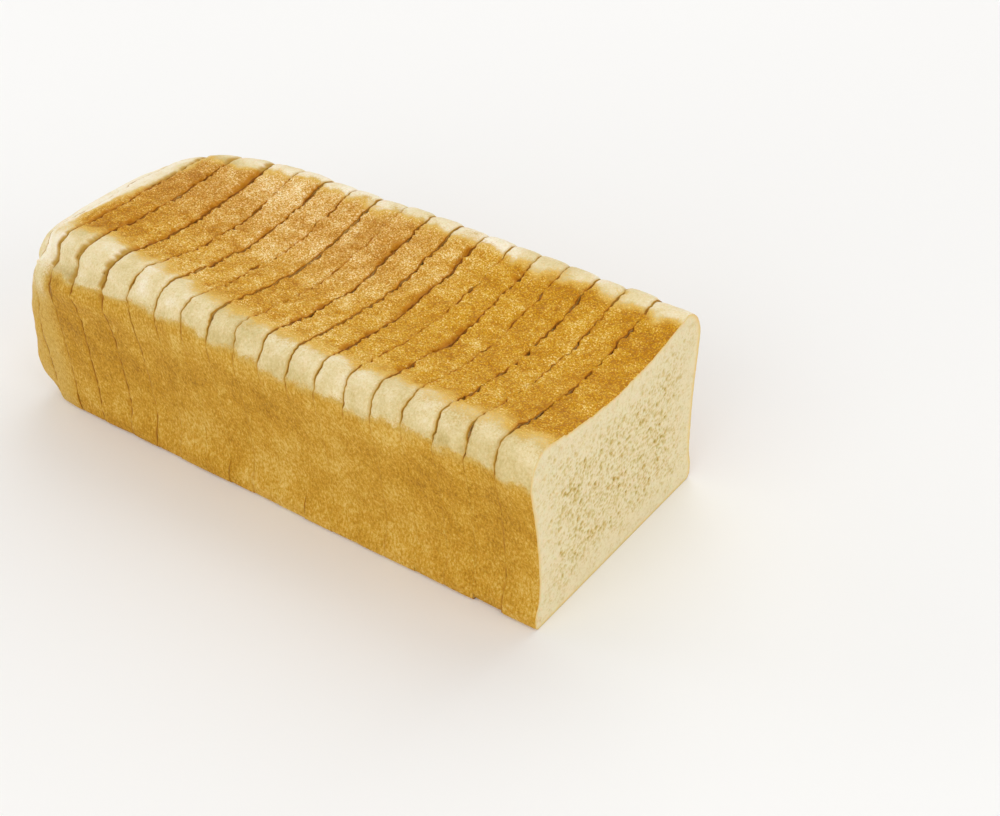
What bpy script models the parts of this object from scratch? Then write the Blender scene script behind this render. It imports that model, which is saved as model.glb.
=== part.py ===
"""A sliced tin loaf: the heel and eighteen slices, standing in the order they were cut.

The whole loaf is one form: tin sides with a slight waist, rounded top corners, a sunken top and a
rounded heel end. A piece is the length of that form between two cuts, closed by flat cut faces.
Metres, +Z up. X runs along the loaf from the heel to the open cut, and Y across it.
A pair of values is for the near side at -Y, then for the far side at +Y.
"""
import math
import random

import bmesh
import bpy
from mathutils import Vector, noise

LOAF = "tin_loaf"

# The cuts, counted from the heel
HEEL_THICKNESS = 0.0138
SLICE_THICKNESSES = (0.0142, 0.0151, 0.0184, 0.0156, 0.0155, 0.0155, 0.0137, 0.0141, 0.0146,
                     0.0151, 0.0147, 0.0146, 0.0142, 0.0153, 0.0151, 0.0140, 0.0141, 0.0166)
CLOSE_GAP = 0.0004
# The gaps that stand wider open, by the slice before them
WIDE_GAPS = {2: 0.0006, 3: 0.0010, 17: 0.0008}
LENGTH = (HEEL_THICKNESS + sum(SLICE_THICKNESSES) + sum(WIDE_GAPS.values())
          + CLOSE_GAP * (len(SLICE_THICKNESSES) - len(WIDE_GAPS)))

# The section across the loaf
BASE_HALF_WIDTHS = (0.0588, 0.0560)
BASE_EDGE_RADIUS = 0.0022
SHOULDER_HALF_WIDTHS = (0.0592, 0.0602)
SHOULDER_HEIGHTS = (0.0880, 0.0890)
WAIST_DEPTHS = (0.0036, 0.0012)
WAIST_LOWERING = 0.7
CORNER_WIDTH = 0.0100
HEEL_CORNER_WIDTH = 0.0140
CORNER_HEIGHT = 0.0150
# The walls stand out under the corners as a ledge
LEDGE = 0.0024
LEDGE_HEIGHT = 0.0012
DISH_DEPTH = 0.0072
DISH_POWER = 1.6
# How much wider each side is at the middle of the loaf's length
BULGES = (0.0002, 0.0056)

# How the section changes, by the distance from the heel's outer face
HEEL_END_RISES = (0.0050, 0.0022)
RISE_START = 0.050
RISE_END = 0.160
LEDGE_START = 0.042
LEDGE_END = 0.078
DISH_START = 0.016
DISH_FULL = 0.085
WAIST_START = 0.030
WAIST_FULL = 0.080

# The rounding of the heel end: its reach along the loaf, then how far it draws in
TOP_END_ROUND = (0.042, 0.020)
BASE_END_ROUND = (HEEL_THICKNESS, 0.009)
# The heel end's upright corners, halfway up and at the top
MIDDLE_CORNER_ROUNDS = ((0.008, 0.006), (0.010, 0.008))
TOP_CORNER_ROUNDS = ((0.050, 0.024), (0.060, 0.038))
CORNER_ROUND_START = 0.45
CORNER_ROUND_FULL = 0.85
# The same corners at their foot
FOOT_CORNER_ROUND = (0.024, 0.012)
FOOT_CORNER_TOP = 0.22

# The unevenness of baked and sliced bread
CUT_EDGE_WIDTH = 0.0014
CUT_EDGE_DROP = 0.0005
SWAY = 0.0004
# The slices that stand further to one side
SET_ASIDE = {17: 0.0016, 18: 0.0004}
UNEVEN_HEIGHT = 0.004
CRUST_WAVE = 0.0006
CRUST_WAVE_LENGTH = 0.034
# The pieces lean a little towards the open cut, about a line at this height
LEAN = math.radians(1.0)
LEAN_PIVOT = 0.045
SEED = 11

# Points along the outline of one side
BASE_EDGE_STEPS = 2
WALL_STEPS = 5
CORNER_STEPS = 6
TOP_STEPS = 4
HEEL_ROUND_STEPS = 5

CRUST_COLOUR = (0.56, 0.33, 0.10, 1.0)
CRUMB_COLOUR = (0.80, 0.71, 0.47, 1.0)


def clear_scene():
    """Removes every object the file opened with."""
    for item in list(bpy.data.objects):
        bpy.data.objects.remove(item, do_unlink=True)


def baked_material(name, colour, roughness):
    """Returns a matt Principled material."""
    material = bpy.data.materials.new(name)
    material.use_nodes = True
    shader = material.node_tree.nodes["Principled BSDF"]
    shader.inputs["Base Color"].default_value = colour
    shader.inputs["Roughness"].default_value = roughness
    shader.inputs["Metallic"].default_value = 0.0
    return material


def fade(value, start, end):
    """Returns 1 before start, 0 after end and a smooth slope between."""
    share = min(max((value - start) / (end - start), 0.0), 1.0)
    return 0.5 + 0.5 * math.cos(math.pi * share)


def mix(first, second, share):
    """Returns the value that lies a share of the way from the first to the second."""
    return first + (second - first) * share


def draw_in(distance, reach, depth):
    """Returns how far an elliptical rounding draws a surface in, at a distance from the end."""
    if distance >= reach:
        return 0.0
    share = (reach - distance) / reach
    return depth * (1.0 - math.sqrt(1.0 - share * share))


def shoulder_height(distance, which):
    """Returns the height of one of the top's two raised shoulders."""
    rise = HEEL_END_RISES[which] * fade(distance, RISE_START, RISE_END)
    return SHOULDER_HEIGHTS[which] + rise - draw_in(distance, *TOP_END_ROUND)


def corner_inset(distance, height_share, which):
    """Returns how far the heel end's upright corner is drawn in, more so at its top and foot."""
    blend = 1.0 - fade(height_share, CORNER_ROUND_START, CORNER_ROUND_FULL)
    middle_reach, middle_depth = MIDDLE_CORNER_ROUNDS[which]
    top_reach, top_depth = TOP_CORNER_ROUNDS[which]
    upper = draw_in(distance, mix(middle_reach, top_reach, blend), mix(middle_depth, top_depth, blend))
    foot = draw_in(distance, *FOOT_CORNER_ROUND) * fade(height_share, 0.0, FOOT_CORNER_TOP)
    return max(upper, foot)


def base_edge_points(distance, which):
    """Returns (half width, height) points round the edge between the bottom face and the wall."""
    lift = draw_in(distance, *BASE_END_ROUND)
    points = []
    for step in range(BASE_EDGE_STEPS):
        angle = math.pi / 2 * step / BASE_EDGE_STEPS
        half_width = BASE_HALF_WIDTHS[which] - BASE_EDGE_RADIUS * (1.0 - math.sin(angle))
        points.append((half_width, lift + BASE_EDGE_RADIUS * (1.0 - math.cos(angle))))
    return points


def wall_points(distance, which, ledge):
    """Returns the points up the wall, which flares towards its top and has a waist lower down."""
    foot = BASE_EDGE_RADIUS + draw_in(distance, *BASE_END_ROUND)
    top = shoulder_height(distance, which) - CORNER_HEIGHT
    full_flare = SHOULDER_HALF_WIDTHS[which] + ledge - BASE_HALF_WIDTHS[which]
    waist_depth = WAIST_DEPTHS[which] * (1.0 - fade(distance, WAIST_START, WAIST_FULL))
    points = []
    for step in range(WALL_STEPS + 1):
        share = step / WALL_STEPS
        waist = waist_depth * math.sin(math.pi * share ** WAIST_LOWERING)
        half_width = BASE_HALF_WIDTHS[which] + full_flare * share ** 2 - waist
        points.append((half_width, mix(foot, top, share)))
    return points


def corner_points(distance, which, ledge):
    """Returns the points round the top corner, from just over the ledge to the shoulder."""
    heel_share = fade(distance, RISE_START, RISE_END)
    corner_width = mix(CORNER_WIDTH, HEEL_CORNER_WIDTH, heel_share)
    centre = SHOULDER_HALF_WIDTHS[which] - ledge - corner_width
    foot = shoulder_height(distance, which) - CORNER_HEIGHT
    start_angle = math.asin(LEDGE_HEIGHT / CORNER_HEIGHT)
    points = []
    for step in range(CORNER_STEPS + 1):
        angle = mix(start_angle, math.pi / 2, step / CORNER_STEPS)
        points.append((centre + corner_width * math.cos(angle), foot + CORNER_HEIGHT * math.sin(angle)))
    return points


def top_points(distance, shoulder_width, which):
    """Returns the points from the shoulder down into the dish, ending on the middle line."""
    shoulder = shoulder_height(distance, which)
    dish = DISH_DEPTH * (1.0 - fade(distance, DISH_START, DISH_FULL))
    middle = (shoulder_height(distance, 0) + shoulder_height(distance, 1)) / 2 - dish
    points = []
    for step in range(1, TOP_STEPS + 1):
        share = 1.0 - step / TOP_STEPS
        points.append((shoulder_width * share, mix(middle, shoulder, share ** DISH_POWER)))
    return points


def half_section(distance, which):
    """Returns (half width, height) points up one side, from the bottom face to the middle line."""
    ledge = LEDGE * fade(distance, LEDGE_START, LEDGE_END)
    outline = base_edge_points(distance, which)
    outline += wall_points(distance, which, ledge)
    outline += corner_points(distance, which, ledge)
    swell = BULGES[which] * math.sin(math.pi * distance / LENGTH)
    shoulder = shoulder_height(distance, which)
    rounded = []
    for half_width, height in outline:
        share = height / shoulder
        rounded.append((half_width + swell * share - corner_inset(distance, share, which), height))
    return rounded + top_points(distance, rounded[-1][0], which)


def section(distance):
    """Returns the closed (y, z) outline across the loaf, anticlockwise from the open cut's side."""
    near = [(-half_width, height) for half_width, height in half_section(distance, 0)]
    far = half_section(distance, 1)
    return far + near[-2::-1]


def crust_point(distance, y, z, cut_edge, slice_shape):
    """Returns a point of the crust with the slice's own unevenness; the base stays flat."""
    sway, stretch = slice_shape
    wave = noise.noise(Vector((distance, y, z)) / CRUST_WAVE_LENGTH) * CRUST_WAVE
    swell = wave - CUT_EDGE_DROP * cut_edge
    above_base = min(z / BASE_EDGE_RADIUS, 1.0)
    width = y * (1.0 + swell / SHOULDER_HALF_WIDTHS[0]) + sway
    height = z * (1.0 + stretch + swell * above_base / SHOULDER_HEIGHTS[0])
    return Vector((distance + (height - LEAN_PIVOT) * math.tan(LEAN), width, height))


def piece_mesh(name, stations, slice_shape):
    """Lofts the crust through (distance, cut_edge) stations and closes both ends.

    The crust drops a little where cut_edge is 1, and an end there is a cut face of crumb.
    """
    shape = bmesh.new()
    rings = []
    for distance, cut_edge in stations:
        ring = [shape.verts.new(crust_point(distance, y, z, cut_edge, slice_shape))
                for y, z in section(distance)]
        rings.append(ring)
    edges = []
    for ring in rings:
        edges.append([shape.edges.new((ring[i - 1], ring[i])) for i in range(len(ring))])
    for first, second in zip(edges, edges[1:]):
        bmesh.ops.bridge_loops(shape, edges=first + second)
    for face in shape.faces:
        face.smooth = True
    for end in (0, -1):
        face = shape.faces.new(rings[end])
        face.material_index = int(stations[end][1])
    bmesh.ops.recalc_face_normals(shape, faces=shape.faces)
    mesh = bpy.data.meshes.new(name)
    shape.to_mesh(mesh)
    shape.free()
    return mesh


def slice_stations(start, end):
    """Returns the stations of a slice, which lies between two cuts."""
    return [(start, 1), (start + CUT_EDGE_WIDTH, 0), (end - CUT_EDGE_WIDTH, 0), (end, 1)]


def heel_stations():
    """Returns the stations of the heel, closer together where its outer end rounds off."""
    stations = []
    for step in range(HEEL_ROUND_STEPS):
        stations.append((HEEL_THICKNESS * (step / HEEL_ROUND_STEPS) ** 2, 0))
    stations.append((HEEL_THICKNESS - CUT_EDGE_WIDTH, 0))
    stations.append((HEEL_THICKNESS, 1))
    return stations


def piece_meshes():
    """Returns the meshes of the heel and the slices, each where it stands along the loaf."""
    rng = random.Random(SEED)
    meshes = [piece_mesh("heel", heel_stations(), (0.0, 0.0))]
    start = HEEL_THICKNESS + CLOSE_GAP
    for number, thickness in enumerate(SLICE_THICKNESSES, start=1):
        sway = SET_ASIDE.get(number, rng.uniform(-SWAY, SWAY))
        stretch = rng.uniform(-UNEVEN_HEIGHT, UNEVEN_HEIGHT)
        stations = slice_stations(start, start + thickness)
        meshes.append(piece_mesh(f"slice_{number:02d}", stations, (sway, stretch)))
        start += thickness + WIDE_GAPS.get(number, CLOSE_GAP)
    return meshes


def build_loaf():
    """Builds every piece and stands the loaf with its box centred on the origin."""
    collection = bpy.data.collections.new(LOAF)
    bpy.context.scene.collection.children.link(collection)
    crust = baked_material("baked_crust", CRUST_COLOUR, 0.75)
    crumb = baked_material("white_crumb", CRUMB_COLOUR, 0.90)

    meshes = piece_meshes()
    corners = [vertex.co for mesh in meshes for vertex in mesh.vertices]
    middle_x = (min(co.x for co in corners) + max(co.x for co in corners)) / 2
    middle_y = (min(co.y for co in corners) + max(co.y for co in corners)) / 2
    base = bpy.data.objects.new(f"{LOAF}_base", None)
    collection.objects.link(base)
    base.location = (-middle_x, -middle_y, 0.0)
    for mesh in meshes:
        mesh.materials.append(crust)
        mesh.materials.append(crumb)
        piece = bpy.data.objects.new(mesh.name, mesh)
        collection.objects.link(piece)
        piece.parent = base


clear_scene()
build_loaf()
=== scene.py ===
"""The looks of a sliced tin loaf: browned crust, pale torn corners, cut crumb, and the studio round it.

Every piece of bread starts from its own solid in the frame. The crust is drawn again as a fine tube,
its cuts are closed by crumb, and both are roughened as baking and slicing leave them.
Lengths are in metres, X runs from the heel to the open cut, Y across the loaf and Z up.
"""

import logging
import math
from dataclasses import dataclass, field
from enum import Enum

import bmesh
import bpy
import numpy as np
from mathutils import Matrix, Vector, noise

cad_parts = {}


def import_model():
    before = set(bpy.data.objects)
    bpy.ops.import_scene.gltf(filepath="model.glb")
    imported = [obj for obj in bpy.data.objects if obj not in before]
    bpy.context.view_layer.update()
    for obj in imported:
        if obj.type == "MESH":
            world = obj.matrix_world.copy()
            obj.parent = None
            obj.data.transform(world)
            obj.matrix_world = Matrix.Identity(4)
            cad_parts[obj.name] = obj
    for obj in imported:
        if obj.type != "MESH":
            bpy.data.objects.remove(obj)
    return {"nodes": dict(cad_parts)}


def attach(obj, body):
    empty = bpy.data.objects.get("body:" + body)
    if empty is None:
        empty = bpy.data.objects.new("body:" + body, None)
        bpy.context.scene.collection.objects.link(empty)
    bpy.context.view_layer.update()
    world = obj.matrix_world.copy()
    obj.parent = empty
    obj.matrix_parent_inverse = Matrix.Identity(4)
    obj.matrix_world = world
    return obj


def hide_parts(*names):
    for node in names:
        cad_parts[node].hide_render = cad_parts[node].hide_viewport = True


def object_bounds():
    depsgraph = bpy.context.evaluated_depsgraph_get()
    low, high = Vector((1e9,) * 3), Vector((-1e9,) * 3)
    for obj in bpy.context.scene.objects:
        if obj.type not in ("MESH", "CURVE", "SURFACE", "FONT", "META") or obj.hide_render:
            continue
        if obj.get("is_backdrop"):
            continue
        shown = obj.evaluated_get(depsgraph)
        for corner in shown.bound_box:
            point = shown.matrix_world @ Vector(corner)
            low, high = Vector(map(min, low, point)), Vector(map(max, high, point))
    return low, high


log = logging.getLogger("tin_loaf")

MM = 0.001
BODY = "root"
HEEL = "heel"
LEAN = math.tan(math.radians(1.0))   # how far the cut faces lean along X for each unit of height


class Skin(str, Enum):
    """The vertex attributes that tell a material where it is on the bread."""

    BROWNING = "browning"    # 0 on pale crust, 1 where the crust is baked through
    TIN_SIDE = "tin_side"    # 1 where the crust baked against the tin, 0 on the open top
    TONE_AND_PAINTED_LIGHT = "tone"            # below 0 lighter and yellower, above 0 darker and redder; on the pale corner it also holds painted shade at the foot and painted light at the heel end and the far side
    DUSTY = "dusty"          # 1 where the brown top is greyer, 0 where it is a clear yellow brown
    PAINTED_GROOVE_SHADE = "painted_groove_shade"    # painted shade in the groove beside a cut and on the rim sloping into it, 1 at its darkest
    RIND_AND_GAP_SHADE = "rind_and_gap_shade"            # on a cut face, 1 at the crust, 0 in the crumb; the open cut shows the real crust band, the closed cuts a deeper, darker band of painted shade in the gap
    PORE_SHADE = "pore"            # on a cut face, how deep the crumb's pore is, painted as shade in the crumb's colour


class CutLook(Enum):
    """How deep a cut's groove runs in the crust, in millimetres."""

    CLOSED = 0.0
    FAINT = 0.12
    LIGHT = 0.27
    CLEAR = 0.45
    BOLD = 0.85
    TORN = 1.20


def linear(code: str) -> tuple[float, float, float, float]:
    """Turns an sRGB hex colour into a linear one.

    Args:
        code: the colour as six hex digits.

    Returns:
        Red, green, blue and an alpha of 1.
    """
    shares = [int(code[i:i + 2], 16) / 255 for i in (0, 2, 4)]
    red, green, blue = (c / 12.92 if c <= 0.04045 else ((c + 0.055) / 1.055) ** 2.4 for c in shares)
    return red, green, blue, 1.0


def fade(value: np.ndarray, start: float, end: float) -> np.ndarray:
    """Slopes smoothly from 1 at start to 0 at end.

    Args:
        value: where to read the slope.
        start: the last value that gives 1.
        end: the first value that gives 0; it may be less than start.

    Returns:
        The slope, between 0 and 1.
    """
    share = np.clip((value - start) / (end - start), 0.0, 1.0)
    return 0.5 + 0.5 * np.cos(np.pi * share)


def ripple(points: np.ndarray, size: float, seed: float) -> np.ndarray:
    """Reads a smooth, seeded noise at each point.

    Args:
        points: one row per point.
        size: the length of one wave.
        seed: shifts the noise, so that two seeds have nothing in common.

    Returns:
        Values between about -1 and 1.
    """
    return np.array([noise.noise(point) for point in (points / size + seed).tolist()])


def cells(points: np.ndarray, size: float, seed: float) -> tuple[np.ndarray, np.ndarray]:
    """Finds the nearest of the scattered centres that a cellular noise is made of.

    Args:
        points: one row per point.
        size: the usual distance between two centres.
        seed: shifts the centres.

    Returns:
        The distance to the nearest centre as a share of size, and a random value of its cell.
    """
    nearest = []
    chance = []
    for point in (points / size + seed).tolist():
        distances, centres = noise.voronoi(point)
        nearest.append(distances[0])
        chance.append(noise.cell(centres[0] * 7.3))
    return np.array(nearest), np.array(chance)


# --------------------------------------------------------------------------- finishes


def add_node(tree: bpy.types.NodeTree, kind: str, settings: dict, links: dict) -> bpy.types.Node:
    """Adds a node with its settings and links.

    Args:
        tree: the material's node tree.
        kind: the node's type.
        settings: a value for each property, or for each input given by name or number.
        links: the socket that feeds each input.

    Returns:
        The new node.
    """
    node = tree.nodes.new(kind)
    for name, value in settings.items():
        if isinstance(name, str) and hasattr(node, name):
            setattr(node, name, value)
        else:
            node.inputs[name].default_value = value
    for name, socket in links.items():
        tree.links.new(socket, node.inputs[name])
    return node


def start_material(name: str) -> tuple[bpy.types.Material, bpy.types.NodeTree, bpy.types.Node]:
    """Starts a material.

    Args:
        name: what the real material is called.

    Returns:
        The material, its node tree and its Principled shader.
    """
    material = bpy.data.materials.new(name)
    material.use_nodes = True
    return material, material.node_tree, material.node_tree.nodes["Principled BSDF"]


def ramp(tree: bpy.types.NodeTree, factor: bpy.types.NodeSocket,
         stops: dict[float, str]) -> bpy.types.NodeSocket:
    """Adds a colour ramp.

    Args:
        tree: the material's node tree.
        factor: the socket that picks the colour.
        stops: a hex colour for each place along the ramp.

    Returns:
        The ramp's colour socket.
    """
    node = add_node(tree, "ShaderNodeValToRGB", {}, {"Fac": factor})
    elements = node.color_ramp.elements
    while len(elements) < len(stops):
        elements.new(0.5)
    for element, (place, code) in zip(elements, sorted(stops.items())):
        element.position = place
        element.color = linear(code)
    return node.outputs["Color"]


def blend_colours(tree: bpy.types.NodeTree, factor: bpy.types.NodeSocket, first: bpy.types.NodeSocket,
                  second: bpy.types.NodeSocket) -> bpy.types.NodeSocket:
    """Mixes two colours.

    Args:
        tree: the material's node tree.
        factor: 0 for the first colour, 1 for the second.
        first: the first colour.
        second: the second colour.

    Returns:
        The mixed colour's socket.
    """
    node = add_node(tree, "ShaderNodeMix", {"data_type": "RGBA"}, {0: factor, 6: first, 7: second})
    return node.outputs[2]


def reach(tree: bpy.types.NodeTree, value: bpy.types.NodeSocket, low: float, high: float,
          to_low: float = 0.0, to_high: float = 1.0) -> bpy.types.NodeSocket:
    """Maps a range of values onto another, held at both ends.

    Args:
        tree: the material's node tree.
        value: the socket to map.
        low: the value that gives to_low.
        high: the value that gives to_high.
        to_low: the result at low.
        to_high: the result at high.

    Returns:
        The mapped value's socket.
    """
    settings = {"From Min": low, "From Max": high, "To Min": to_low, "To Max": to_high}
    return add_node(tree, "ShaderNodeMapRange", settings, {"Value": value}).outputs["Result"]


def combine(tree: bpy.types.NodeTree, operation: str, first: bpy.types.NodeSocket,
            second: bpy.types.NodeSocket | float) -> bpy.types.NodeSocket:
    """Adds, multiplies or otherwise combines two values.

    Args:
        tree: the material's node tree.
        operation: the name of the sum to do.
        first: the first value.
        second: the second value, a socket or a number.

    Returns:
        The result's socket.
    """
    if isinstance(second, bpy.types.NodeSocket):
        settings, links = {}, {0: first, 1: second}
    else:
        settings, links = {1: second}, {0: first}
    return add_node(tree, "ShaderNodeMath", {"operation": operation, **settings}, links).outputs[0]


def skin_value(tree: bpy.types.NodeTree, skin: Skin) -> bpy.types.NodeSocket:
    """Reads one of the bread's vertex attributes.

    Args:
        tree: the material's node tree.
        skin: the attribute to read.

    Returns:
        The attribute's value socket.
    """
    return add_node(tree, "ShaderNodeAttribute", {"attribute_name": skin.value}, {}).outputs["Fac"]


def grain(tree: bpy.types.NodeTree, place: bpy.types.NodeSocket, size_mm: float, detail: float,
          roughness: float = 0.5) -> bpy.types.NodeSocket:
    """Adds an even noise pattern of a real size.

    Args:
        tree: the material's node tree.
        place: the coordinates, in metres.
        size_mm: the size of one grain.
        detail: how many finer grains are added.
        roughness: how strong the finer grains are.

    Returns:
        The noise's value socket.
    """
    settings = {"Scale": 1.0 / (size_mm * MM), "Detail": detail, "Roughness": roughness}
    return add_node(tree, "ShaderNodeTexNoise", settings, {"Vector": place}).outputs["Fac"]


@dataclass(frozen=True)
class BreadCrust:
    """Wheat crust baked in a tin: dry, matt, speckled brown on the open top and ochre at the tin.

    The corners, where the dough drew away from the heat, stay pale and smooth.
    """

    fleck_mm: float = 0.78
    mottle_mm: float = 7.0
    streak_mm: tuple[float, float, float] = (1.0, 1.0, 1.6)
    roughness: float = 0.62
    specular: float = 0.15
    subsurface: float = 0.08
    subsurface_scale: float = 1.5 * MM
    bump_height: float = 0.30 * MM

    def material(self) -> bpy.types.Material:
        """Makes the crust's material."""
        material, tree, shader = start_material("baked_bread_crust")
        place = add_node(tree, "ShaderNodeTexCoord", {}, {}).outputs["Object"]
        browning = skin_value(tree, Skin.BROWNING)
        tin_side = skin_value(tree, Skin.TIN_SIDE)
        tone = skin_value(tree, Skin.TONE_AND_PAINTED_LIGHT)
        painted_groove_shade = skin_value(tree, Skin.PAINTED_GROOVE_SHADE)
        fleck = grain(tree, place, self.fleck_mm, 2.0, 0.75)
        mottle = grain(tree, place, self.mottle_mm, 3.0, 0.6)
        stretch = tuple(self.fleck_mm / size for size in self.streak_mm)
        streak_place = add_node(tree, "ShaderNodeMapping", {"Scale": stretch}, {"Vector": place})
        streak = grain(tree, streak_place.outputs["Vector"], self.fleck_mm, 2.0, 0.7)

        shade = self.shade(tree, fleck, 2.7, mottle, 1.0, tone, -0.17)
        clear = ramp(tree, shade,
                     {0.05: "A06000", 0.35: "C88804", 0.58: "D6A11C", 0.78: "E4B84C", 1.0: "FBDE98"})
        dusty = ramp(tree, shade,
                     {0.05: "A2620A", 0.35: "C48628", 0.58: "DCA94E", 0.78: "ECC378", 1.0: "FFE8B8"})
        top = blend_colours(tree, skin_value(tree, Skin.DUSTY), clear, dusty)
        wall = ramp(tree, self.shade(tree, streak, 1.35, mottle, 0.4, tone, -0.20),
                    {0.10: "9C6A08", 0.40: "BE8A1C", 0.60: "CE9E36", 0.90: "E2C06A"})
        # Pale crust; its darker stops are reached where the painted shade at the corner's foot darkens the
        # tone.
        pale = ramp(tree, self.shade(tree, streak, 0.45, mottle, 0.5, tone, -0.20),
                    {0.15: "BCA25E", 0.40: "D7C187", 0.60: "E9D6A5", 0.90: "FBF0D8"})
        baked = blend_colours(tree, tin_side, top, wall)
        golden_top = ramp(tree, fleck, {0.25: "C8942C", 0.5: "DEB252", 0.75: "F2D482"})
        golden_wall = ramp(tree, streak, {0.3: "C09337", 0.7: "D8B55E"})
        golden = blend_colours(tree, tin_side, golden_top, golden_wall)
        ragged = combine(tree, "ADD", browning, combine(
            tree, "MULTIPLY", combine(tree, "SUBTRACT", fleck, 0.5), 1.0))
        colour = blend_colours(tree, reach(tree, ragged, 0.05, 0.45), pale, golden)
        colour = blend_colours(tree, reach(tree, ragged, 0.50, 1.0), colour, baked)
        # Painted shade in the cut grooves, and golden-brown painted shade on the rim sloping into them;
        # darker on the baked crust than on the pale corner.
        top_groove_shade = ramp(tree, painted_groove_shade, {0.3: "C4800E", 1.0: "7E4200"})
        wall_groove_shade = ramp(tree, painted_groove_shade, {0.3: "BE8A28", 1.0: "965E08"})
        baked_groove_shade = blend_colours(tree, tin_side, top_groove_shade, wall_groove_shade)
        pale_groove_shade = ramp(tree, painted_groove_shade, {0.3: "C49A44", 1.0: "A07420"})
        groove = blend_colours(tree, reach(tree, browning, 0.2, 0.7), pale_groove_shade, baked_groove_shade)
        colour = blend_colours(tree, reach(tree, painted_groove_shade, 0.05, 0.4), colour, groove)
        tree.links.new(colour, shader.inputs["Base Color"])

        relief = combine(tree, "MULTIPLY", fleck, reach(tree, browning, 0.2, 0.9, 0.5, 1.0))
        bump = add_node(tree, "ShaderNodeBump", {"Strength": 0.9, "Distance": self.bump_height},
                        {"Height": relief})
        tree.links.new(bump.outputs["Normal"], shader.inputs["Normal"])
        shader.inputs["Roughness"].default_value = self.roughness
        shader.inputs["Specular IOR Level"].default_value = self.specular
        shader.inputs["Subsurface Weight"].default_value = self.subsurface
        shader.inputs["Subsurface Scale"].default_value = self.subsurface_scale
        return material

    @staticmethod
    def shade(tree: bpy.types.NodeTree, fine: bpy.types.NodeSocket, fine_share: float,
              broad: bpy.types.NodeSocket, broad_share: float, tone: bpy.types.NodeSocket,
              tone_share: float) -> bpy.types.NodeSocket:
        """Sums fine and broad noise and the tone into one value about 0.5.

        Args:
            tree: the material's node tree.
            fine: the fine noise.
            fine_share: how strongly the fine noise counts.
            broad: the broad noise.
            broad_share: how strongly the broad noise counts.
            tone: the bread's tone.
            tone_share: how strongly the tone counts.

        Returns:
            The sum's socket.
        """
        fine_part = combine(tree, "MULTIPLY", combine(tree, "SUBTRACT", fine, 0.5), fine_share)
        broad_part = combine(tree, "MULTIPLY", combine(tree, "SUBTRACT", broad, 0.5), broad_share)
        tone_part = combine(tree, "MULTIPLY", tone, tone_share)
        total = combine(tree, "ADD", combine(tree, "ADD", fine_part, broad_part), tone_part)
        return combine(tree, "ADD", total, 0.5)


@dataclass(frozen=True)
class BreadCrumb:
    """Soft white crumb cut by a knife: cream cell walls round yellower, shaded pores."""

    speck_mm: float = 0.9
    mottle_mm: float = 7.0
    roughness: float = 0.85
    specular: float = 0.15
    subsurface: float = 0.2
    subsurface_scale: float = 2.0 * MM
    bump_height: float = 0.2 * MM

    def material(self) -> bpy.types.Material:
        """Makes the crumb's material."""
        material, tree, shader = start_material("white_bread_crumb")
        place = add_node(tree, "ShaderNodeTexCoord", {}, {}).outputs["Object"]
        speck = grain(tree, place, self.speck_mm, 3.0, 0.6)
        mottle = grain(tree, place, self.mottle_mm, 2.0)
        pore = skin_value(tree, Skin.PORE_SHADE)
        rind_and_gap_shade = skin_value(tree, Skin.RIND_AND_GAP_SHADE)
        # Painted shade in the pores, with the crumb's grain and mottling.
        depth = combine(tree, "ADD", pore, combine(
            tree, "MULTIPLY", combine(tree, "SUBTRACT", speck, 0.5), 0.7))
        depth = combine(tree, "ADD", depth, combine(
            tree, "MULTIPLY", combine(tree, "SUBTRACT", mottle, 0.5), 0.3))
        crumb = ramp(tree, depth, {0.0: "E5D6AF", 0.25: "D7C38F", 0.6: "BFA45C", 1.0: "98782E"})
        # The crust band at the open cut's rim; its dark end, reached only on the closed cuts, is painted
        # shade deep in the gap.
        crust = ramp(tree, rind_and_gap_shade, {0.0: "E5D6AF", 0.3: "E4CE98", 0.6: "E0C484", 1.0: "A06A04"})
        colour = blend_colours(tree, reach(tree, rind_and_gap_shade, 0.05, 0.5), crumb, crust)
        tree.links.new(colour, shader.inputs["Base Color"])
        bump = add_node(tree, "ShaderNodeBump", {"Strength": 0.8, "Distance": self.bump_height},
                        {"Height": speck})
        tree.links.new(bump.outputs["Normal"], shader.inputs["Normal"])
        shader.inputs["Roughness"].default_value = self.roughness
        shader.inputs["Specular IOR Level"].default_value = self.specular
        shader.inputs["Subsurface Weight"].default_value = self.subsurface
        shader.inputs["Subsurface Scale"].default_value = self.subsurface_scale
        return material


@dataclass(frozen=True)
class StudioPaper:
    """A sheet of matt white background paper."""

    colour: str = "F6F5F3"
    roughness: float = 0.9

    def material(self) -> bpy.types.Material:
        """Makes the paper's material."""
        material, _, shader = start_material("matt_white_paper")
        shader.inputs["Base Color"].default_value = linear(self.colour)
        shader.inputs["Roughness"].default_value = self.roughness
        return material


# --------------------------------------------------------------------------- the bread


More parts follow.
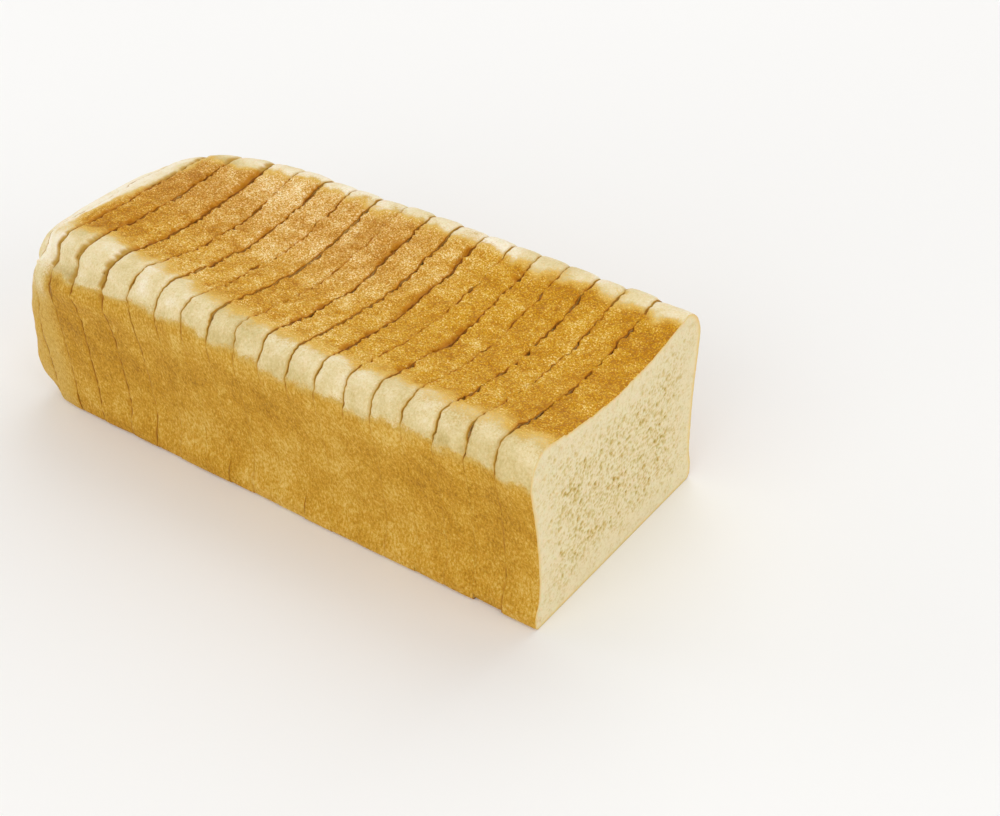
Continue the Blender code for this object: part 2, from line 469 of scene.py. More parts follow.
@dataclass
class BakePattern:
    """Where the whole loaf is brown and where it is pale, read by the distance along and across it."""

    heel_x: float
    seed: float = 3.0

    def along(self, points: np.ndarray) -> np.ndarray:
        """The distance from the heel's outer face, in millimetres."""
        return (points[:, 0] - self.heel_x) / MM

    def wall_top(self, points: np.ndarray, slice_shift: float) -> np.ndarray:
        """Where the tin's brown wall gives way to the pale corner.

        Args:
            points: one row per point.
            slice_shift: how much higher this slice's pale corner starts, in millimetres.

        Returns:
            The height in millimetres.
        """
        along = self.along(points)
        level = 75.6 + 6.7 * fade(along, 95.0, 190.0) - 4.0 * fade(along, 40.0, 90.0)
        ragged = 2.6 * ripple(points, 7 * MM, self.seed) + 1.2 * ripple(points, 2.5 * MM, self.seed)
        even = fade(along, 65.0, 105.0)
        return level - 8.0 * fade(along, 10.0, 24.0) + (slice_shift + ragged) * (1 - 0.7 * even)

    def near_ledge(self, place: Vector) -> bool:
        """Whether a place is by the ledge between wall and corner, where the heel end has one."""
        return (place.x < self.heel_x + 85 * MM and abs(place.y) > 38 * MM
                and 60 * MM < place.z < 87 * MM)

    def crease(self, points: np.ndarray, slice_shift: float) -> np.ndarray:
        """The ridge and the hollow above it at the foot of the pale corner near the heel.

        Args:
            points: one row per point.
            slice_shift: how much higher this slice's pale corner starts, in millimetres.

        Returns:
            How far they stand out, in millimetres.
        """
        height = points[:, 2] / MM - self.wall_top(points, slice_shift)
        form = 1.1 * np.exp(-((height - 1.0) / 1.4) ** 2) - 0.9 * np.exp(-((height - 5.5) / 2.5) ** 2)
        beside = 1 - fade(np.abs(points[:, 1]) / MM, 46.0, 52.0)
        along = self.along(points)
        return form * fade(along, 60.0, 110.0) * (1 - fade(along, 12.0, 20.0)) * beside

    def end_corner(self, points: np.ndarray) -> np.ndarray:
        """How the heel end's upright corners fill out over the ledge and round off above it.

        Args:
            points: one row per point.

        Returns:
            How far they stand out, in millimetres.
        """
        along = self.along(points)
        height = points[:, 2] / MM
        fill = 2.6 * np.exp(-((height - 76.0) / 4.5) ** 2) * fade(along, 14.0, 28.0)
        fill *= 1 - fade(np.abs(points[:, 1]) / MM, 40.0, 54.0)
        rounding = 4.5 * (1 - fade(height, 77.0, 86.0)) * fade(along, 7.0, 14.0)
        return fill - rounding * (1 - fade(np.abs(points[:, 1]) / MM, 16.0, 36.0))

    def walls(self, points: np.ndarray, slice_shift: float) -> np.ndarray:
        """The share of brown tin side at each point, 1 on the walls and 0 from the corners up."""
        level = self.wall_top(points, slice_shift)
        along = self.along(points)
        softness = 2.5 + 2.5 * (1 - fade(along, 50.0, 110.0)) + 5.0 * fade(along, 10.0, 24.0)
        return fade((points[:, 2] / MM - level) / softness, -1.0, 0.6)

    def top(self, points: np.ndarray, slice_shift: float) -> np.ndarray:
        """The share of brown top crust at each point.

        Args:
            points: one row per point.
            slice_shift: how much this slice's brown top is shifted, in millimetres.

        Returns:
            The share, 1 on the open top and 0 from the corners down.
        """
        along = self.along(points)
        across = points[:, 1] / MM
        wobble = 5.0 * ripple(points, 10 * MM, self.seed + 11) + 2.0 * ripple(points, 3 * MM, self.seed)
        near_edge = -48.0 + 8.0 * fade(along, 60.0, 150.0) + 0.4 * slice_shift + wobble
        far_edge = 50.5 - 9.5 * fade(along, 50.0, 100.0) - 2.5 * (1 - fade(along, 190.0, 220.0)) + wobble
        far_edge -= 3.5 * (1 - fade(along, 262.0, 280.0))
        heel_edge = 19.0 + 12.0 * (1 - fade(across, -40.0, 38.0)) + 0.5 * wobble
        share = 1 - fade(across, near_edge - 7.0, near_edge + 10.0)
        share *= fade(across, far_edge - 7.0, far_edge + 3.0)
        share *= 1 - fade(along, heel_edge - 3.0, heel_edge + 5.0)
        return share * (1 - fade(points[:, 2] / MM, 72.0, 80.0))

    def end_browning(self, points: np.ndarray) -> np.ndarray:
        """How brown the tin side is, less at the heel end's upright corners, 0 to 1."""
        corner = fade(self.along(points), 20.0, 34.0) * (1 - fade(np.abs(points[:, 1]) / MM, 26.0, 40.0))
        return 1 - corner * (0.45 + 0.55 * (1 - fade(points[:, 2] / MM, 54.0, 76.0)))

    def tone(self, points: np.ndarray, walls: np.ndarray, top: np.ndarray,
             slice_tone: float) -> np.ndarray:
        """How dark the crust is beside its neighbours, with painted shade and painted light on the pale
        corner.

        Args:
            points: one row per point.
            walls: the share of brown tin side at each point.
            top: the share of brown top crust at each point.
            slice_tone: this slice's own tone.

        Returns:
            The tone, about -1 to 1.
        """
        along = self.along(points)
        across = points[:, 1] / MM
        height = points[:, 2] / MM
        top_tone = 0.85 * fade(along, 30.0, 100.0) + 0.5 * (1 - fade(along, 252.0, 286.0)) - 0.15
        top_tone += 0.15 * (1 - fade(along, 190.0, 215.0))
        top_tone -= 0.75 * (1 - fade(across, 20.0, 38.0)) * fade(along, 100.0, 170.0)
        top_tone -= 0.20 * fade(np.abs(along - 120.0), 20.0, 90.0) * fade(np.abs(across - 10.0), 5.0, 35.0)
        top_tone -= 0.35 * (1 - fade(across, 5.0, 35.0)) * fade(along, 40.0, 80.0)
        wall_tone = 0.50 * fade(np.abs(height - 53.0), 2.0, 16.0) + 0.35 * fade(along, 60.0, 120.0)
        wall_tone -= 0.25 + 0.30 * (1 - fade(height, 60.0, 74.0))
        wall_tone -= 0.7 * fade(along, 12.0, 24.0)
        # Pale corner: painted shade darkens its foot; painted light brightens it towards the heel end and
        # along the far upper side.
        pale_tone_and_painted_light = 0.7 * fade(height, 78.0, 88.0) - 0.3 - 1.4 * fade(along, 16.0, 40.0)
        pale_tone_and_painted_light -= 0.9 * (1 - fade(across, 40.0, 48.0)) * (1 - fade(height, 76.0, 84.0))
        patches = 0.9 * ripple(points, 26 * MM, self.seed + 23) + 0.6 * ripple(points, 8 * MM, self.seed)
        tone = wall_tone * walls + top_tone * top + pale_tone_and_painted_light * (1 - walls) * (1 - top)
        return tone + slice_tone + patches

    def dusty(self, points: np.ndarray) -> np.ndarray:
        """How grey the brown top is, 1 along the far side of the heel end, 0 towards the open cut."""
        far = 0.25 + 0.75 * (1 - fade(points[:, 1] / MM, -25.0, 25.0))
        return far * fade(self.along(points), 140.0, 215.0)


@dataclass
class KnifeCut:
    """One cut of the bread knife, shared by the two pieces that it parted.

    The steps tell how much further towards +Y the later piece stands, at the near and the far wall.
    """

    number: int
    half_gap: float
    steps: tuple[float, float]
    top: CutLook
    wall: CutLook
    corner: CutLook
    closed_half_gap: float = 0.03 * MM
    groove_reach: float = 0.7 * MM
    flank_reach: float = 1.3 * MM
    bold_reach: float = 3.0 * MM

    def line(self, points: np.ndarray) -> np.ndarray:
        """The points moved into a plane of the cut's own, in which its noise is read."""
        place = points.copy()
        place[:, 0] = self.number * 53 * MM
        return place

    def wander(self, points: np.ndarray, walls: np.ndarray) -> np.ndarray:
        """How far the cut strays along the loaf where it meets the crust.

        Args:
            points: one row per point.
            walls: the share of brown tin side at each point.

        Returns:
            The shift along X in metres, the same for both sides of the cut.
        """
        place = self.line(points)
        stray = 1.5 * ripple(place, 13 * MM, 81.0) + 0.9 * ripple(place, 4 * MM, 83.0)
        stray += 0.5 * ripple(place, 1.7 * MM, 85.0)
        return stray * (1 - 0.70 * walls) * MM

    def level_walls(self, points: np.ndarray, side: int) -> np.ndarray:
        """How far a wall moves across the loaf to meet the wall beyond the cut.

        Args:
            points: one row per point.
            side: 0 for a piece's cut towards the heel, 1 for its other cut.

        Returns:
            The shift along Y in metres at the cut, none on the foot and the top.
        """
        across = points[:, 1] / MM
        height = points[:, 2] / MM
        near, far = self.steps
        step = near * fade(across, -50.0, -42.0) + far * (1 - fade(across, 42.0, 50.0))
        share = (1 - fade(height, 0.0, 6.0)) * fade(height, 80.0, 86.0)
        return (step if side else -step) / 2 * share

    def depth(self, points: np.ndarray, walls: np.ndarray, top: np.ndarray) -> np.ndarray:
        """How deep the groove is.

        Args:
            points: one row per point.
            walls: the share of brown tin side at each point.
            top: the share of brown top crust at each point.

        Returns:
            The depth in metres.
        """
        place = self.line(points)
        run_out = 0.6 * (1 - fade(points[:, 2] / MM, 58.0, 76.0))
        at_corner = np.maximum(1 - walls, run_out) * (1 - top)
        depth = self.top.value * top + np.maximum(self.wall.value * walls, self.corner.value * at_corner)
        beads = 1.1 * ripple(place, 5 * MM, 87.0) + 0.8 * ripple(place, 1.9 * MM, 89.0)
        beads += 0.9 * ripple(place, 17 * MM, 86.0) * top
        uneven = beads * (0.20 * top + (0.4 + 0.3 * top + 0.8 * walls) * depth)
        return np.clip(depth + uneven, 0.0, 1.8) * MM

    def chips(self, points: np.ndarray, side: int, top: np.ndarray) -> np.ndarray:
        """How far the crust has crumbled away beside the cut.

        Args:
            points: one row per point.
            side: 0 for a piece's cut towards the heel, 1 for its other cut.
            top: the share of brown top crust at each point.

        Returns:
            The distance in metres.
        """
        place = self.line(points)
        bites = 2.2 * np.clip(ripple(place, 5 * MM, 91.0 + side) - 0.32, 0.0, 0.5)
        ragged = 0.7 * np.clip(ripple(place, 1.8 * MM, 95.0 + side), 0.0, 1.0)
        return (bites + ragged) * top * MM


@dataclass
class BreadPiece:
    """One piece of the loaf: the heel or a slice."""

    name: str
    number: int
    before: KnifeCut | None
    after: KnifeCut | None
    pattern: BakePattern
    crust: bpy.types.Material
    crumb: bpy.types.Material
    slot: str = "sliced_bread"
    crust_step: float = 0.8 * MM
    edge_step: float = 0.36 * MM
    edge_width: float = 1.4 * MM
    edge_drop: float = 0.5 * MM
    base_step: float = 1.6 * MM
    hidden_step: float = 3.0 * MM
    open_step: float = 0.5 * MM
    weld: float = 0.01 * MM
    smoothing: int = 3
    ledge_smoothing: int = 40

    def build(self, node: bpy.types.Object) -> bpy.types.Object:
        """Builds the dressed piece.

        Args:
            node: the piece's solid in the frame.

        Returns:
            The new object, riding where the solid is.
        """
        shape = self.outline_tube(node)
        self.refine_tube(shape)
        self.close_ends(shape)
        bmesh.ops.triangulate(shape, faces=shape.faces[:])
        self.bake(shape)
        mesh = bpy.data.meshes.new(f"{self.name}_bread")
        shape.to_mesh(mesh)
        shape.free()
        mesh.materials.append(self.crust)
        mesh.materials.append(self.crumb)
        piece = bpy.data.objects.new(f"{self.name}_bread", mesh)
        bpy.context.scene.collection.objects.link(piece)
        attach(piece, BODY)
        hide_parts(self.name)
        return piece

    @staticmethod
    def station(vertex: bmesh.types.BMVert) -> float:
        """The vertex's place along the loaf, measured square to the leaning cuts."""
        return vertex.co.x - vertex.co.z * LEAN

    def in_ring(self, edge: bmesh.types.BMEdge) -> bool:
        """Whether an edge runs round the loaf and not along it."""
        return abs(self.station(edge.verts[0]) - self.station(edge.verts[1])) < 2 * self.weld

    def outline_tube(self, node: bpy.types.Object) -> bmesh.types.BMesh:
        """Takes the solid's outline rings and bridges them into an open tube of quads.

        Args:
            node: the piece's solid in the frame.

        Returns:
            The tube.
        """
        shape = bmesh.new()
        shape.from_mesh(node.data)
        bmesh.ops.remove_doubles(shape, verts=shape.verts[:], dist=self.weld)
        ends = (min(map(self.station, shape.verts)), max(map(self.station, shape.verts)))
        end_faces = []
        for face in shape.faces:
            for end in ends:
                if all(abs(self.station(vertex) - end) < 2 * self.weld for vertex in face.verts):
                    end_faces.append(face)
        bmesh.ops.delete(shape, geom=end_faces, context="FACES")
        bmesh.ops.delete(shape, geom=shape.faces[:], context="FACES_ONLY")
        between = [edge for edge in shape.edges if not self.in_ring(edge)]
        bmesh.ops.delete(shape, geom=between, context="EDGES")
        rings = {}
        for edge in shape.edges:
            rings.setdefault(round(self.station(edge.verts[0]) / (10 * self.weld)), []).append(edge)
        ordered = [rings[key] for key in sorted(rings)]
        for first, second in zip(ordered, ordered[1:]):
            bmesh.ops.bridge_loops(shape, edges=first + second)
        bmesh.ops.recalc_face_normals(shape, faces=shape.faces[:])
        return shape

    def refine_tube(self, shape: bmesh.types.BMesh) -> None:
        """Cuts the tube's long quads into small ones and rounds its facets off.

        Args:
            shape: the tube.
        """
        shape.normal_update()
        places = shape.verts.layers.float.new("station")
        for vertex in shape.verts:
            vertex[places] = self.station(vertex)
        first = min(map(self.station, shape.verts))
        start_ring = [edge for edge in shape.edges
                      if self.in_ring(edge) and abs(self.station(edge.verts[0]) - first) < 2 * self.weld]
        plans = {}
        for edge in start_ring:
            strip = self.follow_strip(edge)
            length = sum(rung.calc_length() for rung in strip) / len(strip)
            on_base = all(vertex.co.z < self.weld for vertex in strip[-1].verts)
            step = self.base_step if on_base else self.crust_step
            cuts = max(round(length / step) - 1, 0)
            plans.setdefault((cuts, on_base), []).extend(strip)
        for (cuts, on_base), strips in plans.items():
            if cuts:
                bmesh.ops.subdivide_edges(shape, edges=strips, cuts=cuts, use_grid_fill=True,
                                          smooth=0.0 if on_base else 1.0)
        self.put_back(shape, places)
        bands = {}
        for edge in shape.edges:
            if not self.in_ring(edge):
                low = min(map(self.station, edge.verts))
                bands.setdefault(round(low / (10 * self.weld)), []).append(edge)
        for rails in bands.values():
            length = sum(rail.calc_length() for rail in rails) / len(rails)
            at_edge = length < 1.3 * self.edge_width
            cuts = max(math.ceil(length / (self.edge_step if at_edge else self.crust_step)) - 1, 1)
            bmesh.ops.subdivide_edges(shape, edges=rails, cuts=cuts, use_grid_fill=True)
        inner = [vertex for vertex in shape.verts if not vertex.is_boundary]
        self.smooth(shape, inner, self.smoothing)
        ledge = [vertex for vertex in shape.verts if self.pattern.near_ledge(vertex.co)]
        self.smooth(shape, ledge, self.ledge_smoothing)
        self.put_back(shape, places)
        shape.verts.layers.float.remove(places)

    @staticmethod
    def smooth(shape: bmesh.types.BMesh, verts: list, times: int) -> None:
        """Moves each of the vertices halfway to the middle of its neighbours, several times over."""
        for _ in range(times):
            bmesh.ops.smooth_vert(shape, verts=verts, factor=0.5, use_axis_x=True, use_axis_y=True,
                                  use_axis_z=True)

    @staticmethod
    def put_back(shape: bmesh.types.BMesh, places: bmesh.types.BMLayerItem) -> None:
        """Moves every vertex along X to its own place along the loaf again.

        Args:
            shape: the tube.
            places: the layer that holds each vertex's place.
        """
        for vertex in shape.verts:
            vertex.co.x = vertex[places] + vertex.co.z * LEAN

    @staticmethod
    def follow_strip(edge: bmesh.types.BMEdge) -> list:
        """Follows a strip of quads along the tube, from an edge of its open end.

        Args:
            edge: the edge to start from.

        Returns:
            The edges that the strip crosses, each opposite the last.
        """
        strip = [edge]
        face = edge.link_faces[0]
        while face is not None:
            corner = next(corner for corner in face.loops if corner.edge == strip[-1])
            opposite = corner.link_loop_next.link_loop_next.edge
            strip.append(opposite)
            face = next((other for other in opposite.link_faces if other is not face), None)
        return strip

    def close_ends(self, shape: bmesh.types.BMesh) -> None:
        """Closes both ends with a flat face and cuts it into a grid.

        Args:
            shape: the tube.
        """
        rims = [edge for edge in shape.edges if edge.is_boundary]
        middle = sum(vertex.co.x for vertex in shape.verts) / len(shape.verts)
        for side, cut in ((-1, self.before), (1, self.after)):
            rim = [edge for edge in rims if (edge.verts[0].co.x - middle) * side > 0]
            face = bmesh.ops.contextual_create(shape, geom=rim)["faces"][0]
            face.material_index = 0 if self.name == HEEL and side < 0 else 1
            self.grid_face(shape, face, self.hidden_step if cut else self.open_step)
        bmesh.ops.recalc_face_normals(shape, faces=shape.faces[:])
        for face in shape.faces:
            face.smooth = True

    @staticmethod
    def grid_face(shape: bmesh.types.BMesh, face: bmesh.types.BMFace, step: float) -> None:
        """Cuts a flat face into squares across Y and Z.

        Args:
            shape: the piece's mesh.
            face: the face to cut.
            step: the side of a square.
        """
        places = [vertex.co.copy() for vertex in face.verts]
        geometry = [face] + face.edges[:] + face.verts[:]
        for axis in (1, 2):
            normal = Vector((0.0, 0.0, 0.0))
            normal[axis] = 1.0
            low = min(place[axis] for place in places)
            high = max(place[axis] for place in places)
            count = round((high - low) / step)
            for number in range(1, count):
                place = normal * (low + (high - low) * number / count)
                cut = bmesh.ops.bisect_plane(shape, geom=geometry, dist=1e-7, plane_co=place,
                                             plane_no=normal)
                geometry = cut["geom"]

    def bake(self, shape: bmesh.types.BMesh) -> None:
        """Roughens the crust and the crumb, and writes where each is brown or pale, and where painted
        shade goes along the cuts, in the closed gaps and in the pores.

        Args:
            shape: the piece's mesh.
        """
        shape.normal_update()
        shape.verts.index_update()
        count = len(shape.verts)
        on_crust = np.zeros(count, bool)
        on_crumb = np.zeros(count, bool)
        outward = np.zeros((count, 3))
        for face in shape.faces:
            rows = [vertex.index for vertex in face.verts]
            if face.material_index == 0:
                on_crust[rows] = True
                outward[rows] += np.array(face.normal) * face.calc_area()
            else:
                on_crumb[rows] = True
        length = np.linalg.norm(outward, axis=1, keepdims=True)
        outward /= np.where(length > 0, length, 1.0)

        points = np.array([vertex.co for vertex in shape.verts])
        values = {skin: np.zeros(count) for skin in Skin}
        crust = np.flatnonzero(on_crust)
        crumb = np.flatnonzero(on_crumb & ~on_crust)
        rim = np.flatnonzero(on_crumb & on_crust)
        moved = points.copy()
        moved[crust] = self.bake_crust(points[crust], outward[crust], crust, values)
        moved[crumb] = self.cut_crumb(points, moved, crumb, rim, values)
        for vertex, place in zip(shape.verts, moved.tolist()):
            vertex.co = place
        for skin, numbers in values.items():
            layer = shape.verts.layers.float.new(skin.value)
            for vertex, number in zip(shape.verts, numbers.tolist()):
                vertex[layer] = number

    def bake_crust(self, points: np.ndarray, outward: np.ndarray, rows: np.ndarray,
                   values: dict) -> np.ndarray:
        """Browns the crust, raises its grain, breaks it along the cuts and paints shade into the grooves
        there.

        Args:
            points: the crust's points.
            outward: their normals.
            rows: where these points stand in the attribute arrays.
            values: the attribute arrays.

        Returns:
            The points, moved.
        """
        slice_shift = 4.0 * noise.noise(Vector((self.number * 1.7, 0.3, 0.6)))
        slice_tone = 0.8 * noise.noise(Vector((self.number * 2.3, 5.1, 0.2)))
        walls = self.pattern.walls(points, slice_shift)
        top = self.pattern.top(points, slice_shift)
        values[Skin.BROWNING][rows] = np.maximum(walls * self.pattern.end_browning(points), top)
        beside = 1 - fade(np.abs(points[:, 1]) / MM, 48.0, 54.0)
        values[Skin.TIN_SIDE][rows] = np.maximum(beside, fade(points[:, 2] / MM, 72.0, 78.0))
        values[Skin.TONE_AND_PAINTED_LIGHT][rows] = self.pattern.tone(points, walls, top, slice_tone)
        values[Skin.DUSTY][rows] = self.pattern.dusty(points)

        lift = (0.25 + 0.55 * top) * ripple(points, 15 * MM, 43.0)
        lift += (0.10 + 0.70 * top) * ripple(points, 4.5 * MM, 45.0)
        lift += (0.10 + 0.70 * top) * ripple(points, 1.8 * MM, 47.0)
        lift += 0.35 * (1 - walls) * (1 - top)
        lift += self.pattern.crease(points, slice_shift) + self.pattern.end_corner(points)
        # Painted shade along the cuts, gathered over both sides.
        edge = np.zeros(len(points))
        moved = points.copy()
        stations = points[:, 0] - points[:, 2] * LEAN
        sides = ((0, self.before, stations - stations.min()), (1, self.after, stations.max() - stations))
        for side, cut, distance in sides:
            if self.name == HEEL and side == 0:
                moved[:, 0] += self.heel_shape(points)
                continue
            lift += self.edge_drop / MM * np.clip(1 - distance / self.edge_width, 0.0, 1.0)
            if cut is None:
                continue
            toward = 1.0 if side else -1.0
            depth = cut.depth(points, walls, top)
            bold = 1 - fade(depth / MM, 0.75, 1.25)
            flank = cut.flank_reach + (cut.bold_reach - cut.flank_reach) * bold
            reach = flank if side else cut.groove_reach
            lift -= depth / MM * np.exp(-(distance / reach) ** 2)
            close = (cut.half_gap - cut.closed_half_gap - cut.chips(points, side, top))
            moved[:, 0] += toward * close * np.exp(-(distance / (1.2 * MM)) ** 2)
            moved[:, 0] += cut.wander(points, walls) * fade(distance / MM, 0.0, 5.0)
            moved[:, 1] += cut.level_walls(points, side) * fade(distance / MM, 0.0, 7.0)
            pillow = (1 - walls) * (1 - top) * np.exp(-(distance / (2.6 * MM)) ** 2)
            torn = top * ripple(points, 1.6 * MM, 49.0) * np.exp(-(distance / (1.5 * MM)) ** 2)
            lift += 0.6 * torn - 0.4 * pillow
            # Painted shade of the cut: a dark line in the groove, and on the rim towards the heel a
            # golden-brown band of painted shade where it slopes into the gap.
            shown = np.clip(depth / MM / 0.55, 0.0, 1.0)
            dark = shown * np.exp(-(distance / ((0.40 + 0.45 * bold) * MM)) ** 2)
            golden = (0.24 + 0.22 * bold) * shown * side * np.exp(-(distance / flank) ** 4)
            edge = np.maximum(edge, np.maximum(dark, golden))
        values[Skin.PAINTED_GROOVE_SHADE][rows] = edge
        above_base = np.clip(points[:, 2] / (2 * MM), 0.0, 1.0)
        moved += outward * (lift * above_base * MM)[:, None]
        moved[:, 2] = np.maximum(moved[:, 2], 0.0)
        return moved

    def heel_shape(self, points: np.ndarray) -> np.ndarray:
        """How the heel's end swells under the top crust and draws in lower down.

        Args:
            points: the crust's points.

        Returns:
            The shift along X in metres.
        """
        height = points[:, 2] / MM
        swell = 2.2 * (1 - fade(height, 44.0, 58.0)) * fade(height, 84.0, 93.0)
        hollow = 3.2 * (1 - fade(height, 20.0, 38.0)) * fade(height, 42.0, 52.0)
        foot = 4.5 * fade(height, 2.0, 16.0)
        near_end = fade(self.pattern.along(points), 3.0, 16.0)
        return (hollow + foot - swell) * near_end * MM

    def cut_crumb(self, points: np.ndarray, moved: np.ndarray, rows: np.ndarray, rim: np.ndarray,
                  values: dict) -> np.ndarray:
        """Carries the cut faces along with their rims and opens the crumb's pores.

        Args:
            points: all the piece's points, as the knife left them.
            moved: the same points, with the crust's already moved.
            rows: which points are on the cut faces, inside their rims.
            rim: which points are on the rims.
            values: the attribute arrays.

        Returns:
            The cut faces' points, moved.
        """
        result = points[rows].copy()
        stations = points[:, 0] - points[:, 2] * LEAN
        middle = (stations[rim].min() + stations[rim].max()) / 2
        for side, cut in ((-1, self.before), (1, self.after)):
            here = np.flatnonzero((stations[rows] - middle) * side > 0)
            if not len(here):
                continue
            its_rim = rim[(stations[rim] - middle) * side > 0]
            face = points[rows[here]]
            gap, nearest = self.to_rim(face, points[its_rim])
            carried = fade(gap / MM, 0.0, 3.5)[:, None]
            place = face + (moved[its_rim] - points[its_rim])[nearest] * carried
            if cut is None:
                depth, pore = self.pores(face, gap)
                rind_and_gap_shade = 0.6 * np.exp(-(gap / (1.6 * MM)) ** 2)
                values[Skin.PORE_SHADE][rows[here]] = pore
                values[Skin.RIND_AND_GAP_SHADE][its_rim] = 0.6
            else:
                close = cut.half_gap - cut.closed_half_gap
                place[:, 0] += side * close * (1 - carried[:, 0])
                depth = 0.08 * MM + 0.05 * MM * ripple(face, 5 * MM, 15.0)
                # On the closed cuts the band runs deep and dark: painted shade in the gap.
                rind_and_gap_shade = np.exp(-(gap / (3.0 * MM)) ** 2)
                values[Skin.RIND_AND_GAP_SHADE][its_rim] = 1.0
            place[:, 0] -= side * depth * (1 - rind_and_gap_shade)
            values[Skin.RIND_AND_GAP_SHADE][rows[here]] = rind_and_gap_shade
            result[here] = place
        return result

    @staticmethod
    def pores(face: np.ndarray, gap: np.ndarray) -> tuple[np.ndarray, np.ndarray]:
        """Reads the pores of the open crumb, which is finer and closer under the crust.

        Args:
            face: one row per point.
            gap: each point's distance from the crust.

        Returns:
            The depth in metres, and how far into a pore the point is, 0 to 1, which the crumb's colour
            paints as shade.
        """
        airy = 0.30 + 0.70 * (1 - fade(gap / MM, 3.0, 24.0))
        small, chance = cells(face, 1.35 * MM, 5.0)
        large, rare = cells(face, 2.7 * MM, 9.0)
        pit = np.clip(1 - small / 0.70, 0.0, 1.0) * (0.25 + 0.75 * np.abs(chance)) * airy
        hole = np.clip(1 - large / 0.55, 0.0, 1.0) * (rare > 0.3) * airy
        swell = 0.8 * ripple(face, 1.9 * MM, 17.0) + 0.8 * ripple(face, 6 * MM, 19.0)
        depth = (0.50 * pit + 0.55 * hole + 0.30 * swell + 0.15) * MM
        return depth, np.clip(0.9 * pit + 0.7 * hole, 0.0, 1.0)

    @staticmethod
    def to_rim(points: np.ndarray, rim: np.ndarray) -> tuple[np.ndarray, np.ndarray]:
        """The distance from each point to the nearest rim point, and which one that is."""
        gaps = []
        nearest = []
        for start in range(0, len(points), 4000):
            apart = ((points[start:start + 4000, None, 1:] - rim[None, :, 1:]) ** 2).sum(axis=2)
            nearest.append(apart.argmin(axis=1))
            gaps.append(np.sqrt(apart.min(axis=1)))
        return np.concatenate(gaps), np.concatenate(nearest)


@dataclass
class Loaf:
    """The whole loaf: its pieces in order, the look of each cut, and the finishes."""

    nodes: dict
    crust_finish: BreadCrust = field(default_factory=BreadCrust)
    crumb_finish: BreadCrumb = field(default_factory=BreadCrumb)

    # From the heel's cut to the one before the last slice
    TOP_CUTS = (CutLook.BOLD, CutLook.TORN, CutLook.BOLD, CutLook.TORN, CutLook.CLEAR, CutLook.BOLD,
                CutLook.CLEAR, CutLook.CLEAR, CutLook.LIGHT, CutLook.BOLD, CutLook.CLEAR, CutLook.BOLD,
                CutLook.LIGHT, CutLook.BOLD, CutLook.LIGHT, CutLook.CLEAR, CutLook.LIGHT,
                CutLook.CLEAR)
    WALL_CUTS = (CutLook.CLEAR, CutLook.LIGHT, CutLook.CLEAR, CutLook.CLEAR, CutLook.LIGHT,
                 CutLook.FAINT, CutLook.CLOSED, CutLook.CLOSED, CutLook.FAINT, CutLook.CLOSED,
                 CutLook.CLOSED, CutLook.CLOSED, CutLook.CLOSED, CutLook.FAINT, CutLook.CLOSED,
                 CutLook.FAINT, CutLook.CLOSED, CutLook.LIGHT)
    OPEN_CORNERS = (1, 2, 3)    # the cuts that stand wide open at the pale corner

    def build(self) -> list[bpy.types.Object]:
        """Builds the heel and every slice.

        Returns:
            The dressed pieces, from the heel.
        """
        crust = self.crust_finish.material()
        crumb = self.crumb_finish.material()
        names = [HEEL] + sorted(name for name in self.nodes if name != HEEL)
        ends = {name: self.ends(self.nodes[name]) for name in names}
        heel_x = min(vertex.co.x for vertex in self.nodes[HEEL].data.vertices)
        pattern = BakePattern(heel_x)
        sides = {name: self.sides(self.nodes[name]) for name in names}
        cuts = [None]
        for number, (top, wall) in enumerate(zip(self.TOP_CUTS, self.WALL_CUTS)):
            this, following = names[number], names[number + 1]
            half_gap = (ends[following][0] - ends[this][1]) / 2
            steps = tuple(sides[following][wall_side] - sides[this][2 + wall_side] for wall_side in (0, 1))
            corner = CutLook.TORN if number in self.OPEN_CORNERS else CutLook.CLEAR
            cuts.append(KnifeCut(number, half_gap, steps, top, wall, corner))
        cuts.append(None)
        pieces = []
        for number, name in enumerate(names):
            piece = BreadPiece(name, number, cuts[number], cuts[number + 1], pattern, crust, crumb,
                               slot="heel_crust" if name == HEEL else "sliced_bread")
            pieces.append(piece.build(self.nodes[name]))
            log.info("%s: %d triangles", name, len(pieces[-1].data.polygons))
        return pieces

    @staticmethod
    def ends(node: bpy.types.Object) -> tuple[float, float]:
        """Where a piece starts and ends along the loaf, measured square to the leaning cuts."""
        stations = [vertex.co.x - vertex.co.z * LEAN for vertex in node.data.vertices]
        return min(stations), max(stations)

    def sides(self, node: bpy.types.Object) -> tuple[float, float, float, float]:
        """Where a piece's walls stand across the loaf.

        Args:
            node: the piece's solid in the frame.

        Returns:
            The least and the greatest Y of its cut towards the heel, then of its other cut.
        """
        found = []
        for end in self.ends(node):
            ring = [vertex.co.y for vertex in node.data.vertices
                    if abs(vertex.co.x - vertex.co.z * LEAN - end) < 0.02 * MM]
            found += [min(ring), max(ring)]
        return tuple(found)


# --------------------------------------------------------------------------- the studio


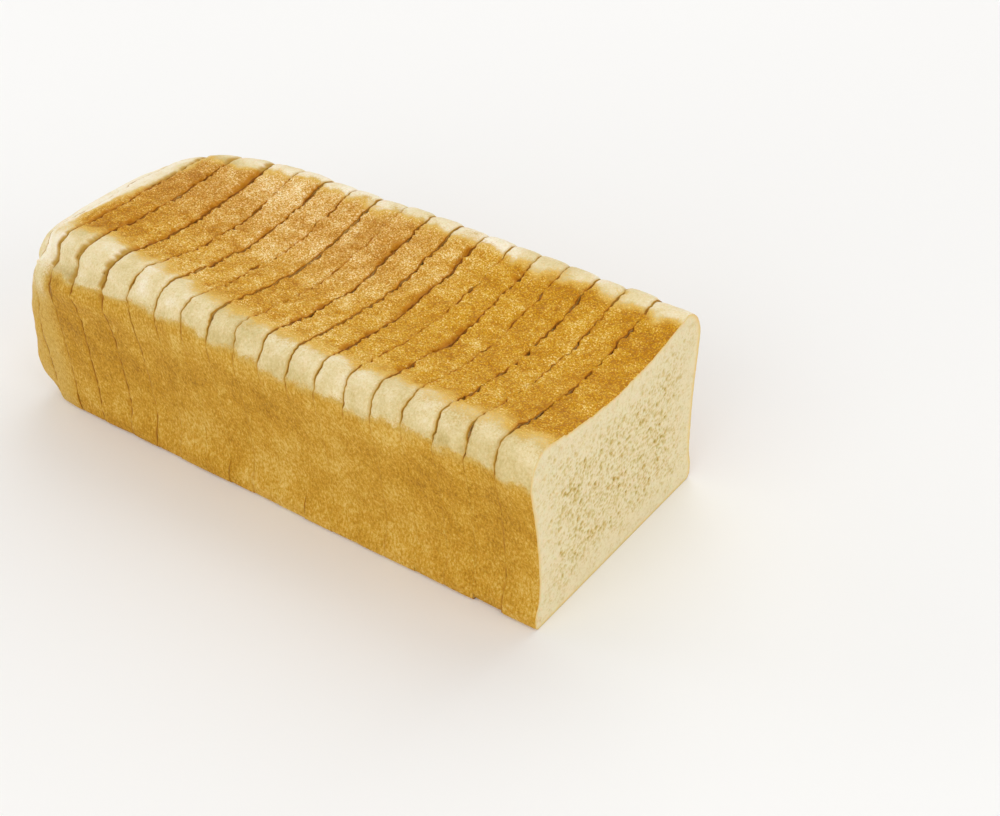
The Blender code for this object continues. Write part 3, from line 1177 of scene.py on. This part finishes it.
@dataclass
class Studio:
    """A pale floor, soft lights and the camera."""

    centre: Vector
    floor_size: float = 4.0
    camera_place: Vector = field(default_factory=lambda: Vector((0.4390, -0.4390, 0.4761)))
    camera_right: Vector = field(default_factory=lambda: Vector((0.80154, 0.59586, -0.04994)))
    camera_down: Vector = field(default_factory=lambda: Vector((0.32942, -0.50975, -0.79476)))
    lens: float = 60.9
    sensor: float = 36.0

    def build(self) -> None:
        """Sets up the floor, the lights and the camera."""
        self.lay_floor()
        self.light("side_softbox", Vector((0.2, -1.0, 0.55)), 1.0, 4.6)
        self.light("end_softbox", Vector((1.1, -0.1, 0.45)), 0.9, 4.0)
        self.light("back_softbox", Vector((-0.2, 0.80, 0.90)), 1.3, 6.6)
        self.light("heel_softbox", Vector((-1.0, -0.15, 0.30)), 0.8, 2.6)
        self.set_surroundings(0.5)
        self.place_camera()

    def lay_floor(self) -> None:
        """Lays the paper under the loaf."""
        shape = bmesh.new()
        bmesh.ops.create_grid(shape, x_segments=1, y_segments=1, size=self.floor_size / 2)
        mesh = bpy.data.meshes.new("floor")
        shape.to_mesh(mesh)
        shape.free()
        mesh.materials.append(StudioPaper().material())
        floor = bpy.data.objects.new("floor", mesh)
        bpy.context.scene.collection.objects.link(floor)
        floor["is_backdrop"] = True

    def light(self, name: str, place: Vector, size: float, power: float) -> None:
        """Hangs a square soft light that faces the loaf.

        Args:
            name: the light's name.
            place: where it hangs, from the loaf's centre.
            size: its side.
            power: its power in watts.
        """
        data = bpy.data.lights.new(name, "AREA")
        data.size = size
        data.energy = power
        lamp = bpy.data.objects.new(name, data)
        lamp.location = self.centre + place
        lamp.rotation_euler = (-place).to_track_quat("-Z", "Y").to_euler()
        bpy.context.scene.collection.objects.link(lamp)

    @staticmethod
    def set_surroundings(strength: float) -> None:
        """Lights everything evenly from all round, and shows colours as they are.

        Args:
            strength: how bright the surroundings are.
        """
        scene = bpy.context.scene
        world = bpy.data.worlds.new("white_room")
        world.use_nodes = True
        background = world.node_tree.nodes["Background"]
        background.inputs["Color"].default_value = linear("FFFFFF")
        background.inputs["Strength"].default_value = strength
        scene.world = world
        scene.view_settings.view_transform = "Standard"

    def place_camera(self) -> None:
        """Sets the camera above the open cut's near corner, looking along the loaf to the heel."""
        data = bpy.data.cameras.new("camera")
        data.lens = self.lens
        data.sensor_width = self.sensor
        camera = bpy.data.objects.new("camera", data)
        right = self.camera_right.normalized()
        back = right.cross(-self.camera_down).normalized()
        up = back.cross(right)
        turn = Matrix((right, up, back)).transposed()
        camera.matrix_world = Matrix.Translation(self.camera_place) @ turn.to_4x4()
        bpy.context.scene.collection.objects.link(camera)
        bpy.context.scene.camera = camera


def main() -> None:
    """Builds the loaf, and the studio round the middle of the imported parts."""
    logging.basicConfig(level=logging.INFO, format="%(name)s: %(message)s")
    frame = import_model()
    low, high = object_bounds()
    Loaf(frame["nodes"]).build()
    Studio((low + high) / 2).build()


if __name__ == "__main__":
    main()
